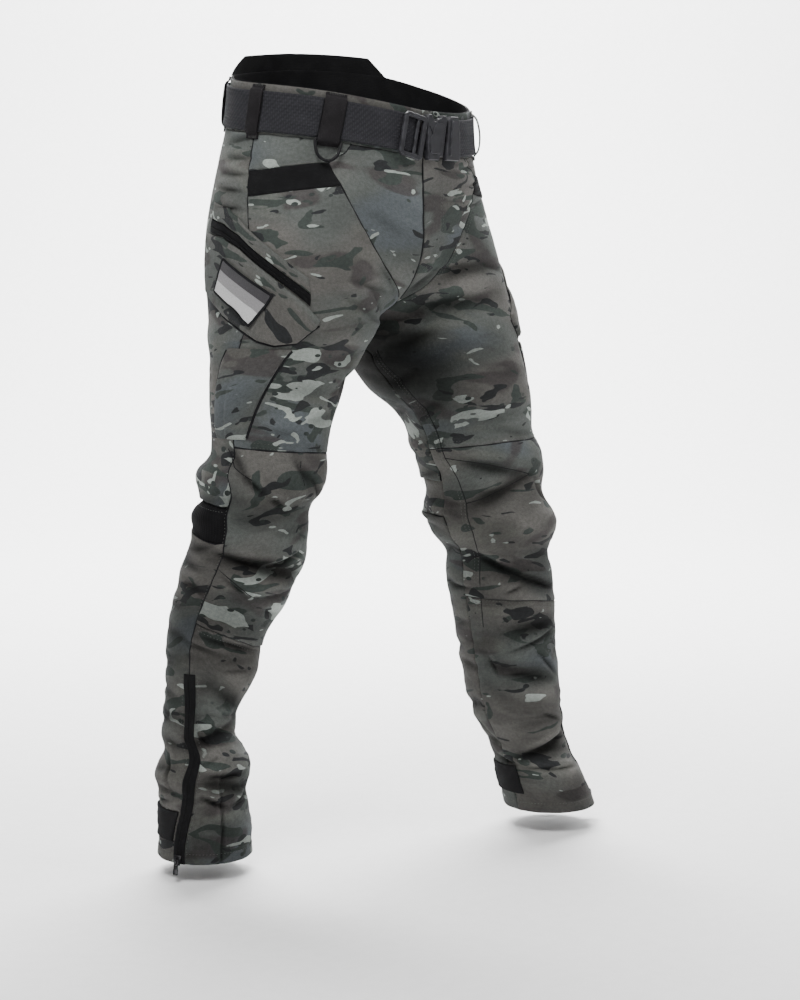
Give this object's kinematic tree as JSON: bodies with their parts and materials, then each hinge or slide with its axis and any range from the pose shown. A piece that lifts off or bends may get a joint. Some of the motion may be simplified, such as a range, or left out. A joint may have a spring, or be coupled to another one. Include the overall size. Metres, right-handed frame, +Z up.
{
  "type": "cargo trousers",
  "caption": "Tapered cargo trousers in a wide stride, with slanted zipped thigh pockets, shaped knees, ankle zips and a webbing belt.",
  "frame": {"origin": "middle of the waist opening, where the wearer's waist holds the trousers", "axes": "+Z up, -Y the wearer's front, +X the wearer's left"},
  "size_m": [0.5729, 0.3032, 0.9558],
  "materials": {
    "camouflage_cloth": "matt woven cloth with a grey camouflage print",
    "black_trim": "matt black cloth, tape and hook-and-loop",
    "belt_webbing": "ribbed webbing",
    "buckle_plastic": "moulded, slightly worn edges",
    "ring_metal": "black coated wire",
    "zip_metal": "black coated",
    "patch_cloth": "woven patch with a dark stitched border"
  },
  "bodies": {
    "trousers": {"ankle_slider_L": "zip_metal", "ankle_slider_R": "zip_metal", "ankle_zip_L": "black_trim", "ankle_zip_R": "black_trim", "back_L": "camouflage_cloth", "back_R": "camouflage_cloth", "back_rise": "black_trim", "belt": "belt_webbing", "buckle_end": "buckle_plastic", "buckle_frame": "buckle_plastic", "buckle_plate": "buckle_plastic", "calf_L": "camouflage_cloth", "calf_R": "camouflage_cloth", "cargo_bag_L": "camouflage_cloth", "cargo_bag_R": "camouflage_cloth", "cargo_front_L": "camouflage_cloth", "cargo_front_R": "camouflage_cloth", "cargo_welt_L": "camouflage_cloth", "cargo_welt_R": "camouflage_cloth", "cargo_zip_L": "black_trim", "cargo_zip_R": "black_trim", "front_centre_L": "camouflage_cloth", "front_centre_R": "camouflage_cloth", "hem_strap_L": "black_trim", "hem_strap_R": "black_trim", "hip_L": "camouflage_cloth", "hip_R": "camouflage_cloth", "knee_L": "camouflage_cloth", "knee_R": "camouflage_cloth", "knee_back_L": "black_trim", "knee_back_R": "black_trim", "loop_front_L": "camouflage_cloth", "loop_rear_L": "black_trim", "loop_rear_R": "black_trim", "loop_ring_R": "black_trim", "loop_side_L": "black_trim", "loop_side_R": "black_trim", "patch": "patch_cloth", "pocket_band_L": "black_trim", "pocket_band_R": "black_trim", "shin_L": "camouflage_cloth", "shin_R": "camouflage_cloth", "thigh_front_L": "camouflage_cloth", "thigh_front_R": "camouflage_cloth", "waist_facing": "black_trim", "waistband": "camouflage_cloth"},
    "ring": {"d_ring": "ring_metal"},
    "pull_R": {"ankle_pull_R": "zip_metal"},
    "pull_L": {"ankle_pull_L": "zip_metal"}
  },
  "joints": [
    {"name": "ring_swing", "type": "hinge", "parent": "trousers", "child": "ring", "pos_m": [-0.11925, -0.08388, -0.05821], "axis": [-0.8145, 0.5681, 0.1176], "range_deg": [0, 110]},
    {"name": "pull_R_swing", "type": "hinge", "parent": "trousers", "child": "pull_R", "pos_m": [-0.25619, 0.0308, -0.87875], "axis": [-0.2902, 0.957, 0], "range_deg": [0, 90]},
    {"name": "pull_L_swing", "type": "hinge", "parent": "trousers", "child": "pull_L", "pos_m": [0.30717, -0.11643, -0.87149], "axis": [-0.2822, -0.9594, 0], "range_deg": [0, 90]}
  ]
}
